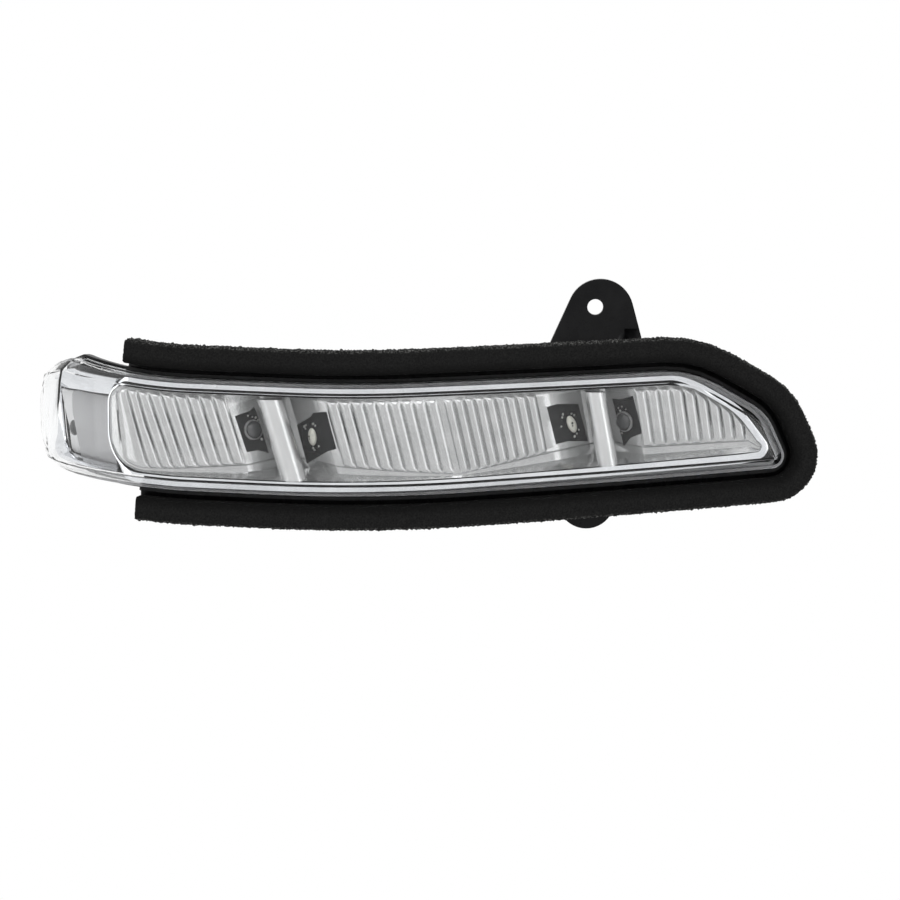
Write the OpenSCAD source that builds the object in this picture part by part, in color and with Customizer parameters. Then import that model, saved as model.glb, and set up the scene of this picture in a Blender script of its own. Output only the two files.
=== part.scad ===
// Side repeater lamp for a door mirror.
// The outlines are drawn in a developed view: x runs along the front sweep, z is up, and depth is
// measured from the lens front into the lamp. bend() carries them onto the plan curve.
// The origin is the centre of the upper ear's hole, on its back face. -Y is the lamp's front.

/* [Plan curve] */
// Radius of the long front sweep
sweep_r = 500; // [350:10:900]
// Radius of the wrapped outer end
wrap_r = 42; // [38:1:48]
// Start of the wrap, left of the ear hole
wrap_x = 135; // [125:1:145]
// Front-most place of the sweep, left of the ear hole
crest_x = 40; // [20:1:60]

/* [Lens] */
// Drop from the ear hole to the top of the lens
drop = 18; // [17:0.5:22]
// Height of the lens at its knee
lens_h = 33.5; // [31:0.5:38]
// Right-hand corner of the lens
tip_x = 59.3; // [57:0.1:62]
// Knee where the top edge turns down to the tip
knee_x = 29.5; // [24:0.5:32]
// Radius of the lens outline at the knee
knee_r = 30; // [20:1:34]
// Run of the lens past the start of the wrap
end_run = 56; // [54:0.5:58]
// Wall of the lens
lens_t = 2; // [1.6:0.1:2.6]
// Width of the sloped rim round the lens front
rim_w = 3; // [2.4:0.1:3.6]
// Depth of the sloped rim
rim_d = 3.6; // [2.5:0.1:4.5]
// Crown of the lens front
crown = 1.2; // [0.6:0.1:1.8]
// Depth of the lens skirt's back edge
skirt_d = 9.8; // [9:0.1:11]

/* [Housing] */
// Wall of the housing
wall = 1.8; // [1.4:0.1:2.4]
// Depth of the housing's floor inside
cup_d = 23; // [22:0.5:28]
// How much shallower the cup is at the wrapped end
cup_lift = 8; // [6:0.5:9]
// Reach of the seal outside the lens
seal_out = 10.2; // [9.5:0.1:12]
// Margin of the flange inside the seal's outer edge
flange_in = 0.7; // [0.3:0.1:1.2]
// Run of the flange and the seal past the start of the wrap
flange_run = 7.5; // [1:0.5:9]
// Height of the lip round the lens above the flange
lip_h = 2.6; // [1.5:0.1:3.5]
// Running clearance between seated pieces
fit = 0.3; // [0.2:0.05:0.4]

/* [Ears] */
// Diameter of the upper ear's hole
ear_hole_d = 4.7; // [4:0.1:5.5]
// Thickness of the ears
ear_t = 2.5; // [2:0.1:3.5]
// Radius of the upper ear's round end
ear_r = 9.8; // [8.5:0.1:11]
// Radius of the lower ear's round end
low_ear_r = 8.5; // [7:0.1:10]

/* [Seal] */
// Radial width of the foam seal
foam_w = 7.4; // [6.5:0.1:8]
// Thickness of the foam seal
foam_t = 6.2; // [4:0.1:7]

/* [Reflector] */
// Thickness of the reflector
refl_t = 1.4; // [1.2:0.1:1.8]
// Width of the bright border round the reflector
border = 1.8; // [1.4:0.1:2.4]
// Depth of the two lamp pockets
pocket_d = 16; // [15:0.5:17]
// Height of the ribs on the reflector
flute_h = 0.9; // [0.5:0.1:1.2]
// Radius of the pillars between the lamps
pillar_r = 3.9; // [3.2:0.05:4]
// Length across a window
window_h = 11.6; // [10:0.2:13]

/* [Electronics] */
// Thickness of the circuit boards
pcb_t = 1.2; // [0.8:0.1:1.6]
// Diameter of the round lamp bodies
led_d = 6.2; // [5:0.1:7]
// Length of the main board
main_l = 52; // [46:1:56]
// Height of the main board
main_h = 18; // [16:0.5:20]
// Inside width of the plug socket
socket_w = 12; // [11:0.5:15]
// Inside height of the plug socket
socket_h = 7; // [6:0.5:8]
// Depth of the plug socket
socket_d = 12; // [10:0.5:14]
// Width of the square contact pins
pin_w = 0.64; // [0.5:0.02:1]
// Diameter of the board screws' heads
screw_d = 4; // [3.6:0.1:5]

/* [Hidden] */

flange_d = skirt_d - 0.3;   // front face of the flange
lip_w = 1.2;                // thickness of the lip and of the glue channel's outer wall
arc_step = 15;              // turn between two points of an arc
run_step = 7;               // run between two points of an edge
ear_set = 0.8;              // how far the ears' back stands behind the sweep's own
stand = flange_d + ear_t + ear_set + sweep_r - sqrt(sweep_r * sweep_r - crest_x * crest_x);
channel_d = skirt_d + 0.5;  // floor of the glue channel
seat_d = skirt_d - 1;       // top of the cup's wall, which the bezels stand on

// Corners of the lens outline, clockwise from the upper left: x, z, radius.
low = drop + lens_h;
flange_x = wrap_x + flange_run;
end_x = -wrap_x - end_run;  // left end of the lens
tab_x = -wrap_x - 31.5;     // upper left corner of the lens front
split_x = -wrap_x - 15;     // seam between the two bezels
lens_outline = [
    [tab_x, 1.5 - drop, 2], [-flange_x - 0.6, 0, -1], [-flange_x, 0, -1],
    [-wrap_x + 7, -3.3 - drop, 150], [-72, -5 - drop, 500], [knee_x, -0.6 - drop, knee_r],
    [tip_x - 7.2, -13.7 - drop, 14], [tip_x, 3.6 - low, 3.8], [-67, -4.9 - low, 600],
    [-wrap_x + 9, -3.1 - low, 100], [-flange_x + 5, 0, -1], [-flange_x + 4.4, 0, -1],
    [end_x + 13, 1.5 - low, 8], [end_x + 1.5, 8 - low, 7], [end_x, -10 - drop, 8],
    [end_x + 8, -1.6 - drop, 8]];

// A corner with radius -1 lies on the line between its neighbours that are true corners.
function near_real(c, i, s) = c[(i + s + len(c)) % len(c)].z >= 0
    ? c[(i + s + len(c)) % len(c)] : near_real(c, i + s, s);
function on_line(c, i) = let (a = near_real(c, i, -1), b = near_real(c, i, 1))
    [c[i].x, a.y + (b.y - a.y) * (c[i].x - a.x) / (b.x - a.x), 0];
function settled(c) = [for (i = [0:len(c) - 1]) c[i].z < 0 ? on_line(c, i) : c[i]];

// Rounded outline, moved inwards by d. Its points are counted on the outline ref, so that rings
// of several insets and outlines match point for point.
function inward(c, i) = let (p = c[i % len(c)], q = c[(i + 1) % len(c)],
    l = norm([q.x - p.x, q.y - p.y])) [(q.y - p.y) / l, -(q.x - p.x) / l];
function turn(c, i) = let (a = inward(c, i + len(c) - 1), b = inward(c, i))
    atan2(a.x * b.y - a.y * b.x, a * b);
function moved(c, i, d) = let (n0 = inward(c, i + len(c) - 1), n1 = inward(c, i), k = n0 * n1,
    p = [c[i].x, c[i].y]) k > 0.9999 ? p + n0 * d : p + (n0 + n1) * d / (1 + k);
function steps(c, i) = let (t = abs(turn(c, i)))
    t < 0.01 ? 0 : max(ceil(t / arc_step), ceil(t * c[i].z * PI / 180 / run_step));
function arc(c, i, d, n) = let (n0 = inward(c, i + len(c) - 1), n1 = inward(c, i), t = turn(c, i),
    s = t < 0 ? 1 : -1, r = max(0.2, c[i].z - s * d), a = atan2(n0.y, n0.x),
    m = moved(c, i, d) + s * r * (n0 + n1) / (1 + n0 * n1))
    n == 0 ? [moved(c, i, d)]
           : [for (j = [0:n]) m - s * r * [cos(a + t * j / n), sin(a + t * j / n)]];
function last(v) = v[len(v) - 1];
function runs(c, i) = let (k = (i + 1) % len(c))
    ceil(norm(arc(c, k, 0, steps(c, k))[0] - last(arc(c, i, 0, steps(c, i)))) / run_step);
function ring(c, d, ref) = let (f = is_undef(ref) ? c : ref)
    [for (i = [0:len(c) - 1]) let (k = (i + 1) % len(c), a = arc(c, i, d, steps(f, i)),
        b = arc(c, k, d, steps(f, k)), n = runs(f, i), p = last(a))
        each concat(a, n < 2 ? [] : [for (j = [1:n - 1]) p + (b[0] - p) * j / n])];

// Plan curve: a place x along the sweep and a depth give a point and the local turn.
wrap_turn = asin((wrap_x - crest_x) / sweep_r);
wrap_cx = -crest_x - (sweep_r - wrap_r) * sin(wrap_turn);
wrap_cy = sweep_r - stand - (sweep_r - wrap_r) * cos(wrap_turn);
function heading(x) = x > -wrap_x ? asin((x + crest_x) / sweep_r)
                                  : -wrap_turn + (x + wrap_x) / wrap_r * 180 / PI;
function bend(x, z, d) = let (a = heading(x)) x > -wrap_x
    ? [-crest_x + (sweep_r - d) * sin(a), sweep_r - stand - (sweep_r - d) * cos(a), z]
    : [wrap_cx + (wrap_r - d) * sin(a), wrap_cy - (wrap_r - d) * cos(a), z];

// The wrapped end is shallower: 0 on the sweep, 1 at the outer end.
function ramp(x) = let (t = min(1, max(0, (-x - wrap_x + 22) / 34))) t * t * (3 - 2 * t);
// One section point is [inset, depth, lift at the wrapped end, inset from the seal's outline, depth].
// The last two hold between the flange's two ends only.
function lay(c, s, ref) = let (a = ring(c, s[0], ref), w = is_undef(s[3]) ? [] : ring(seal_outline, s[3], outline))
    [for (i = [0:len(a) - 1]) let (on = len(w) > 0 && i >= span[0] && i <= span[1], p = on ? w[i] : a[i],
        d = on && !is_undef(s[4]) ? s[4] : s[1])
        bend(p.x, p.y, d - (is_undef(s[2]) ? 0 : s[2]) * ramp(p.x))];
// Triangles that close a ring: its upper and lower runs are zipped from left to right.
function extreme(p, s) = [for (i = [0:len(p) - 1]) if (s * p[i].x == max([for (q = p) s * q.x])) i][0];
function zip(t, b) = let (p = len(t) - 1, q = len(b) - 1, f = [for (i = [0:p - 1]) round((i + 0.5) * q / p)])
    concat([for (i = [0:p - 1]) [t[i], t[i + 1], b[f[i]]]],
           [for (j = [0:q - 1]) let (g = len([for (k = f) if (k <= j) 1])) [b[j], t[g], b[j + 1]]]);
function closing(p) = let (n = len(p), l = extreme(p, -1), r = extreme(p, 1), m = (r - l + n) % n)
    zip([for (i = [0:m]) (l + i) % n], [for (i = [1:n - m - 1]) (l - i + n) % n]);
function flip(f) = [for (t = f) [t[2], t[1], t[0]]];
function add(f, o) = [for (t = f) [for (k = t) k + o]];
function band(n, a, b) = [for (i = [0:n - 1]) let (j = (i + 1) % n)
    each [[a + i, b + i, b + j], [a + i, b + j, a + j]]];

// A bag: rings laid from the front face round the rim to the back face, closed at both ends.
module bag(c, sections) {
    rings = [for (s = sections) lay(c, s)];
    n = len(rings[0]);
    m = len(rings);
    ends = closing(ring(c, sections[0][0]));
    polyhedron([for (r = rings) each r], concat(ends, add(flip(ends), n * (m - 1)),
        [for (i = [0:m - 2]) each band(n, n * i, n * (i + 1))]), convexity = 8);
}
// A hoop: the section runs right round the outline. Rings may follow several matched outlines.
module hoop(c, sections) { looped([for (s = sections) lay(c, s)]); }
module looped(rings) {
    n = len(rings[0]);
    m = len(rings);
    polyhedron([for (r = rings) each r],
        [for (i = [0:m - 1]) each band(n, n * i, n * ((i + 1) % m))], convexity = 8);
}
// A strip: the section runs along the seal's outline, between the flange's two ends.
module strip(sections) {
    count = span[1] - span[0] + 1;
    m = len(sections);
    laid = [for (s = sections) let (r = ring(seal_outline, s[0], outline))
        [for (i = [span[0]:span[1]]) bend(r[i].x, r[i].y, s[1])]];
    polyhedron([for (r = laid) each r], concat(
        [for (i = [0:m - 1], j = [0:count - 2]) let (a = i * count + j, b = (i + 1) % m * count + j)
            each [[a, b + 1, b], [a, a + 1, b + 1]]],
        [for (i = [1:m - 2]) each [[0, i * count, (i + 1) * count],
            [count - 1, (i + 2) * count - 1, (i + 1) * count - 1]]]), convexity = 8);
}
// Stands a child at a place of the developed view, turned with the sweep.
module stand_at(x, z, d) {
    translate(bend(x, z, d)) rotate([0, 0, heading(x)]) children();
}

outline = settled(lens_outline);
seal_outline = [for (i = [0:len(outline) - 1]) let (m = moved(outline, i, -seal_out))
    [m.x, m.y, max(0, outline[i].z + (turn(outline, i) < 0 ? seal_out : -seal_out))]];
base_ring = ring(outline, 0);
function place_of(k) = [for (i = [0:len(base_ring) - 1])
    if (norm(base_ring[i] - [outline[k].x, outline[k].y]) < 0.001) i][0];
span = [place_of(2), place_of(10)];

module outer_lens() {
    color([0.86, 0.89, 0.9, 0.5])
    bag(outline, [[6.5, crown * 0.3], [rim_w, crown], [0, crown + rim_d], [0, skirt_d],
        [lens_t, skirt_d], [lens_t, crown + rim_d + 1], [rim_w + 1.2, crown + lens_t],
        [7.1, crown * 0.3 + lens_t]]);
}

// Bead of sealant between the lens skirt and the glue channel.
module sealant_bead() {
    color([0.12, 0.12, 0.13])
    hoop(outline, [[0, skirt_d], [0, channel_d], [lens_t, channel_d], [lens_t, skirt_d]]);
}

// The lip round the lens stands before the flange, and is only a thin edge at the wrapped end.
thin_lip = 0.6;
module housing_shell() {
    lip = seal_out - fit;
    edge = -fit / 2 - thin_lip;
    edge_d = skirt_d - 0.5;
    inner = lens_t + fit + wall;
    back = flange_d + wall;
    bag(outline, [[inner + 0.5, cup_d, cup_lift], [inner, seat_d], [lens_t + fit, seat_d],
        [lens_t + fit, channel_d], [-fit / 2, channel_d, 0, lip],
        [-fit / 2, edge_d, 0, lip, flange_d - lip_h], [edge, edge_d, 0, lip - lip_w, flange_d - lip_h],
        [edge, flange_d, 0, lip - lip_w], [edge - 0.2, flange_d, 0, flange_in],
        [edge - 0.2, back, 0, flange_in], [edge, back, 0, lip - lip_w], [edge, channel_d + wall, 0, lip - lip_w],
        [lens_t + fit, channel_d + wall], [lens_t + fit + 0.5, cup_d + wall, cup_lift]]);
}

// Gussets between the back of the flange and the cup.
gusset_x = [-118, -86, -54, -22];
gusset_t = 1.4;
module gusset(x, z) {
    stand_at(x, z, 0) translate([-gusset_t / 2, 0, 0]) rotate([90, 0, 90]) linear_extrude(gusset_t)
        polygon([[flange_d + wall - 0.3, -lens_t - fit - 0.8], [flange_d + wall - 0.3, seal_out - 2.5],
            [flange_d + wall + 0.6, seal_out - 2.5], [cup_d - 3, -lens_t - fit - 0.8]]);
}
module gussets() {
    top = [[-wrap_x + 7, -3.3 - drop], [-72, -5 - drop], [knee_x, -0.6 - drop]];
    bottom = [[-wrap_x + 9, -3.1 - low], [-67, -4.9 - low], [tip_x, 3.6 - low]];
    for (x = gusset_x) {
        gusset(x, lookup(x, top));
        translate([0, 0, lookup(x, bottom)]) mirror([0, 0, 1]) gusset(x, 0);
    }
}

// Ears: flat plates, cut along the flange's front where they lie behind the seal. Drawn looking along +Y.
ear_c = [1.6, -1.5];
ear_flare = [24.6, 14.8];   // lean of the upper ear's sides
module before_flange(z0, z1) {
    translate([0, 0, z0]) linear_extrude(z1 - z0) polygon(concat(
        [for (x = [-40:10:40]) let (p = bend(x, 0, flange_d)) [p.x, p.y]], [[40, -40], [-40, -40]]));
}
module upper_ear() {
    root = seal_out - drop - 4;
    l = ear_c + ear_r * [-cos(ear_flare[0]), sin(ear_flare[0])];
    r = ear_c + ear_r * [cos(ear_flare[1]), sin(ear_flare[1])];
    difference() {
        rotate([90, 0, 0]) linear_extrude(ear_t) {
            translate(ear_c) circle(ear_r, $fn = 64);
            polygon([l, r, [r.x + (r.y - root) * tan(ear_flare[1]), root],
                [l.x - (l.y - root) * tan(ear_flare[0]), root]]);
        }
        before_flange(root - 1, seal_out - drop + 1.4);
    }
}
module lower_ear() {
    step = -low - seal_out - 2;
    difference() {
        rotate([90, 0, 0]) linear_extrude(ear_t) translate([-2.5, -low - 6.1]) circle(low_ear_r, $fn = 64);
        before_flange(step, step + 30);
        translate([-20, -ear_t - 1, -low - 1.5]) cube([40, ear_t + 2, 20]);
    }
}

// Plug socket on the back of the cup, and the posts that carry the main board.
socket_x = -44;
socket_z = -drop - 20;
socket_wall = 1.4;
main_d = 15;                // front face of the main board
post_x = 22;                // posts to the left and right of the socket
post_r = 3;
screw_r = 1.1;
module socket() {
    stand_at(socket_x, socket_z, cup_d + wall / 2)
        translate([-socket_w / 2 - socket_wall, 0, -socket_h / 2 - socket_wall])
            cube([socket_w + 2 * socket_wall, socket_d + wall / 2, socket_h + 2 * socket_wall]);
}
module socket_space() {
    stand_at(socket_x, socket_z, cup_d + wall)
        translate([-socket_w / 2, 0.1, -socket_h / 2]) cube([socket_w, socket_d + 1, socket_h]);
}
module posts(r, d0, d1) {
    for (s = [-1, 1]) stand_at(socket_x, socket_z, 0) translate([s * post_x, d0, 0])
        rotate([-90, 0, 0]) cylinder(r = r, h = d1 - d0, $fn = 32);
}
pin_pitch = 3.2;
pins = 3;
pin_short = 4.6;            // how far the pins stop short of the socket's mouth
module pin_row(w, d0, d1) {
    for (i = [0:pins - 1]) stand_at(socket_x, socket_z, 0)
        translate([(i - (pins - 1) / 2) * pin_pitch - w / 2, d0, -w / 2]) cube([w, d1 - d0, w]);
}
module housing() {
    color([0.07, 0.07, 0.08])
    difference() {
        union() {
            housing_shell();
            upper_ear();
            lower_ear();
            socket();
            gussets();
            posts(post_r, main_d + pcb_t, cup_d + 0.5);
        }
        rotate([90, 0, 0]) translate([0, 0, -1]) cylinder(d = ear_hole_d, h = ear_t + 2, $fn = 48);
        socket_space();
        posts(screw_r, main_d, main_d + pcb_t + 5);
        pin_row(pin_w, cup_d - 1, cup_d + wall + 1);
    }
}

// Foam strip on the flange, open at the wrapped end.
module foam_seal() {
    color([0.14, 0.14, 0.15])
    strip([[foam_w, flange_d - foam_t - fit], [foam_w, flange_d - fit],
        [0, flange_d - fit], [0, flange_d - foam_t - fit]]);
}

// Bright bezel round the fluted reflector, on the cup's wall. The tip is cut well inside the lens.
bezel_in = lens_t + fit + 0.3;
bezel_t = 1.3;
bezel_outline = [
    [split_x, -0.8 - drop - bezel_in, 7], [-wrap_x + 7, -3.3 - drop - bezel_in, 150],
    [-72, -5 - drop - bezel_in, 500], [knee_x - 0.7, -0.6 - drop - bezel_in, knee_r - 8],
    [tip_x - 15.3, -11.8 - drop, 25], [tip_x - 4.2, 7.1 - low, 3],
    [-67, -4.9 - low + bezel_in, 600], [-wrap_x + 9, -3.1 - low + bezel_in, 100],
    [split_x, -1 - low + bezel_in, 14]];
rim_front = crown + rim_d + 1;
module main_bezel() {
    color([0.82, 0.83, 0.85])
    hoop(bezel_outline, [[0, rim_front], [0, seat_d - 0.1], [bezel_t, seat_d - 0.1], [bezel_t, rim_front + 0.2],
        [border + 0.4, rim_front - 0.5], [border + 0.4, rim_front - 1.6]]);
}

// Reflector: slanted columns c, measured at its top edge, cross rows from the bottom to the top.
sheet_in = bezel_t + fit;
sheet_ring = ring(bezel_outline, sheet_in);
sheet_l = extreme(sheet_ring, -1);
sheet_r = extreme(sheet_ring, 1);
top_line = [for (i = [0:sheet_r - sheet_l]) if (i == 0 || sheet_ring[sheet_l + i].x
    > sheet_ring[sheet_l + i - 1].x) sheet_ring[sheet_l + i]];
n_sheet = len(sheet_ring);
low_line = [for (i = [0:n_sheet - sheet_r + sheet_l - 1]) let (k = (sheet_l - i + n_sheet) % n_sheet)
    sheet_ring[k]];
left_lamps = -97.6;         // pillar places at the top edge
right_lamps = 0.6;
ridge = -46;
sheet_d = rim_front + 0.3;  // depth of the reflector's edge
depth_line = [[-wrap_x - 12, 6.4], [left_lamps - 14, 9.5], [left_lamps - 4.6, pocket_d],
    [left_lamps + 4.6, pocket_d], [left_lamps + 15.4, 8], [ridge, 6.2], [right_lamps - 15.6, 9],
    [right_lamps - 3.8, pocket_d], [right_lamps + 3.8, pocket_d], [right_lamps + 11.8, 9],
    [tip_x - 8.5, 6.4]];
slant_line = [[-wrap_x - 12, 0.06], [-wrap_x - 9.5, 0.35], [left_lamps, 0.3], [right_lamps, 0.18],
    [tip_x - 8.5, 0.12]];
// Windows: first and last column.
windows = [[left_lamps - 13.6, left_lamps - 6.2], [left_lamps + 5.2, left_lamps + 15],
    [right_lamps - 15.2, right_lamps - 5.2], [right_lamps + 4.8, right_lamps + 11.4]];
// Flutes: first column, number, pitch.
function room(a, b, pitch) = [a, floor((b - a) / pitch), pitch];
flutes = [room(-wrap_x - 11.4, left_lamps - 13.8, 3.85), room(left_lamps + 15.8, ridge - 1, 3.78),
    room(ridge + 2, right_lamps - 16, 3.3), room(right_lamps + 11.6, tip_x - 13, 3.7)];
columns = [
    [-wrap_x - 12, 0], each rib(flutes[0]), each plain(windows[0]), [left_lamps - 4.6, 0],
    [left_lamps + 4.6, 0], each plain(windows[1]), each rib(flutes[1]), each rib(flutes[2]),
    each plain(windows[2]), [right_lamps - 3.8, 0], [right_lamps + 3.8, 0], each plain(windows[3]),
    each rib(flutes[3]), [tip_x - 12, 0], [tip_x - 9.8, 0]];
function rib(f) = [for (k = [0:f[1] * 4]) [f[0] + f[2] * k / 4, sin(180 * (k % 4) / 4)]];
function plain(w) = [for (k = [0:3]) [w[0] + (w[1] - w[0]) * k / 3, 0]];
window_top = 5.2;
function sheet_row(c, bump) = let (s = lookup(c, slant_line), zt = lookup(c, top_line),
    h0 = zt - lookup(c, low_line), zb = lookup(c + s * h0, low_line), h = zt - zb,
    r = lookup(c, depth_line), f1 = min(0.3, (0.8 + 0.35 * (r - 6)) / h),
    f2 = max(f1 + 0.1, 1 - (window_top + window_h) / h), f3 = max(f2 + 0.1, 1 - window_top / h),
    f = [0, f1, f2, f3, max(f3 + 0.08, 1 - 0.9 / h), 1], d = r - flute_h * bump,
    ds = [sheet_d, d, d, d, r, sheet_d])
    [for (j = [0:5]) [c + s * h * (1 - f[j]), zb + h * f[j], ds[j]]];
sheet = [for (c = columns) sheet_row(c[0], c[1])];
function in_window(c) = len([for (w = windows) if (c > w[0] && c < w[1]) 1]) > 0;
function solid_cell(i, j) = i >= 0 && i < len(columns) - 1 && j >= 0 && j < 5
    && !(j == 2 && in_window((columns[i][0] + columns[i + 1][0]) / 2));
module reflector() {
    n = len(columns) * 6;
    color([0.88, 0.89, 0.9])
    polyhedron([each [for (c = sheet) each [for (p = c) bend(p.x, p.y, p.z)]],
                each [for (c = sheet) each [for (p = c) bend(p.x, p.y, p.z + refl_t)]]],
        [for (i = [0:len(columns) - 2], j = [0:4]) if (solid_cell(i, j)) let (a = i * 6 + j)
            each concat([[a, a + 1, a + 7], [a, a + 7, a + 6],
                [n + a, n + a + 7, n + a + 1], [n + a, n + a + 6, n + a + 7]],
                solid_cell(i - 1, j) ? [] : side(a + 1, a, n), solid_cell(i + 1, j) ? [] : side(a + 6, a + 7, n),
                solid_cell(i, j - 1) ? [] : side(a, a + 6, n), solid_cell(i, j + 1) ? [] : side(a + 7, a + 1, n))],
        convexity = 8);
}
function side(a, b, n) = [[a, b, n + b], [a, n + b, n + a]];

// Half-round bars in front of the lamp pockets, cut along the pocket's floor.
module pillar(c, r) {
    s = lookup(c, slant_line);
    zt = lookup(c, top_line) - 1;
    zb = lookup(c, low_line);
    front = rim_front - 0.5;
    color([0.88, 0.88, 0.89])
    stand_at(c, zt, front) intersection() {
        multmatrix([[1, 0, -s, 0], [0, 1, 0, 0], [0, 0, 1, 0], [0, 0, 0, 1]])
            translate([0, 0, zb - zt]) linear_extrude(zt - zb) {
                translate([0, r]) circle(r, $fn = 48);
                polygon([[-r, r], [r, r], [r * 0.72, pocket_d - front - fit], [-r * 0.72, pocket_d - front - fit]]);
            }
        translate([-20, 0, 0]) rotate([90, 0, 90]) linear_extrude(40)
            polygon([[-1, 0], [pocket_d, 0], [pocket_d, zb - zt + 7], [1.5, zb - zt + 1.6], [-1, zb - zt + 1.6]]);
    }
}
module pillar_left() { pillar(left_lamps, pillar_r); }
module pillar_right() { pillar(right_lamps, pillar_r * 0.8); }

// Carries a child to the back of the reflector's wall behind window k: x along the wall, -y forward.
function unit(v) = v / norm(v);
function back_pt(c, j) = let (p = sheet_row(c, 0)[j]) bend(p.x, p.y, p.z + refl_t);
function wall_ends(k) = [for (c = windows[k]) (back_pt(c, 2) + back_pt(c, 3)) / 2];
module behind(k, off) {
    e = wall_ends(k);
    u = unit(e[1] - e[0]);
    n = unit(cross(back_pt(windows[k][0], 3) - back_pt(windows[k][0], 2)
        + back_pt(windows[k][1], 3) - back_pt(windows[k][1], 2), u));
    w = cross(u, n);
    m = (e[0] + e[1]) / 2;
    multmatrix([[u.x, n.x, w.x, m.x], [u.y, n.y, w.y, m.y], [u.z, n.z, w.z, m.z], [0, 0, 0, 1]])
        translate([0, off, 0]) children();
}
board_over = 0.8;           // a board's overlap beyond its window
board_gap = 0.5;            // a board's gap to the reflector's back
function board_l(k) = norm(wall_ends(k)[1] - wall_ends(k)[0]) + 2 * board_over;
module led_board(k) {
    h = window_h + 2 * board_over;
    color([0.12, 0.13, 0.14]) behind(k, board_gap)
        translate([-board_l(k) / 2, 0, -h / 2]) cube([board_l(k), pcb_t, h]);
}
led_off = [0.8, -1.8, 1.8, -0.6];
module led(k) {
    color([0.9, 0.88, 0.8]) behind(k, board_gap) translate([led_off[k], 0, 0]) led_body();
}
led_h = 1.9;                // height of a lamp body
module led_body() {
    rotate([90, 0, 0]) rotate_extrude($fn = 48)
        polygon([[0, 0], [led_d / 2, 0], [led_d / 2, 0.9], [led_d * 0.36, led_h * 0.8], [led_d * 0.2, led_h * 0.95], [0, led_h]]);
}

// Wrapped end: a bright funnel-shaped frame, a flat panel in it, and a lamp half behind the panel's
// left edge. The corners of the two outlines match one to one.
end_outline = [[tab_x + 0.5, -2.1 - drop, 2], [split_x + 3.1, -4.2 - drop, 0.5],
    [split_x - 0.8, -9.5 - drop, 4], [split_x - 0.9, 10.5 - low, 10], [split_x + 5.6, 1.8 - low, 1.5],
    [end_x + 14, 4.6 - low, 6], [end_x + 5, 9.6 - low, 6], [end_x + 3.8, -11.5 - drop, 6],
    [end_x + 9.4, -5.4 - drop, 6]];
end_hole = [[tab_x + 0.5, -8.2 - drop, 2], [split_x - 2, -8.8 - drop, 1],
    [split_x - 2.2, -12 - drop, 3], [split_x - 2.2, 11.5 - low, 8], [split_x + 1.3, 3.5 - low, 1],
    [end_x + 15.5, 6 - low, 3], [end_x + 11, 9.5 - low, 4], [end_x + 6, -11.5 - drop, 3],
    [end_x + 10, -8.6 - drop, 3]];
end_front = 4.6;            // depth of the frame's front edge
hole_back = 8.5;            // depth of the opening's back edge
end_t = 0.8;
module end_bezel() {
    color([0.85, 0.86, 0.88])
    looped(concat(
        [for (s = [[0, end_front], [0, seat_d - 0.1], [end_t, seat_d - 0.1], [end_t, end_front + end_t + 0.6]])
            lay(end_outline, s)],
        [for (d = [hole_back, hole_back - end_t]) lay(end_hole, [0, d], end_outline)]));
}
panel_turn = 45;
panel_t = 1.2;
module at_panel() {
    translate(bend(split_x + 2, -drop - 20, hole_back + fit)) rotate([0, 0, -panel_turn]) children();
}
module end_panel() {
    color([0.75, 0.75, 0.77]) at_panel() translate([0, panel_t, 0]) rotate([90, 0, 0]) linear_extrude(panel_t)
        polygon([[-19, 11.4], [-3.1, 10.6], [-3.1, -3.5], [0, -10], [-12.4, -8.6]]);
}
module end_board() {
    color([0.8, 0.81, 0.82]) at_panel() translate([0, panel_t + fit + led_h + pcb_t, 0]) rotate([90, 0, 0])
        linear_extrude(pcb_t)
            polygon([[-25.5, 10], [-10.5, 10], [-10.5, -8], [-18.5, -7.2], [-22.5, -6], [-25.5, -3.6]]);
}
module end_led() {
    color([0.9, 0.88, 0.8]) at_panel() translate([-18, panel_t + fit + led_h, 0]) led_body();
}

module main_board() {
    color([0.1, 0.25, 0.15])
    difference() {
        stand_at(socket_x, socket_z, 0) translate([-main_l / 2, main_d, -main_h / 2]) cube([main_l, pcb_t, main_h]);
        posts(screw_r, main_d - 1, main_d + pcb_t + 1);
        pin_row(pin_w, main_d - 1, main_d + pcb_t + 1);
    }
}
module on_board(x, z) { stand_at(socket_x, socket_z, 0) translate([x, main_d, z]) children(); }
module resistors() {
    color([0.1, 0.1, 0.1]) for (i = [0:3]) on_board(-14 + i * 4.2, -6)
        translate([-1.6, -0.6, -0.8]) cube([3.2, 0.6, 1.6]);
}
module driver_chip() {
    color([0.08, 0.08, 0.08]) on_board(8, 3) translate([-2.5, -1.6, -2]) cube([5, 1.6, 4]);
}
module capacitor() {
    color([0.7, 0.71, 0.73]) on_board(-8, 3) rotate([90, 0, 0]) cylinder(d = 5, h = 4.5, $fn = 48);
}
module diode() {
    color([0.1, 0.1, 0.11]) on_board(14, -5) translate([-2.2, -2.1, -1.3]) cube([4.4, 2.1, 2.6]);
}
module board_screws() {
    color([0.75, 0.76, 0.78]) for (s = [-1, 1]) on_board(s * post_x, 0) rotate([90, 0, 0]) {
        cylinder(d = screw_d, h = 1.4, $fn = 32);
        translate([0, 0, -pcb_t - 4.5]) cylinder(r = screw_r, h = pcb_t + 4.6, $fn = 32);
    }
}
module contact_pins() {
    color([0.83, 0.78, 0.6]) pin_row(pin_w, main_d - 0.8, cup_d + wall + socket_d - pin_short);
}

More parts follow.
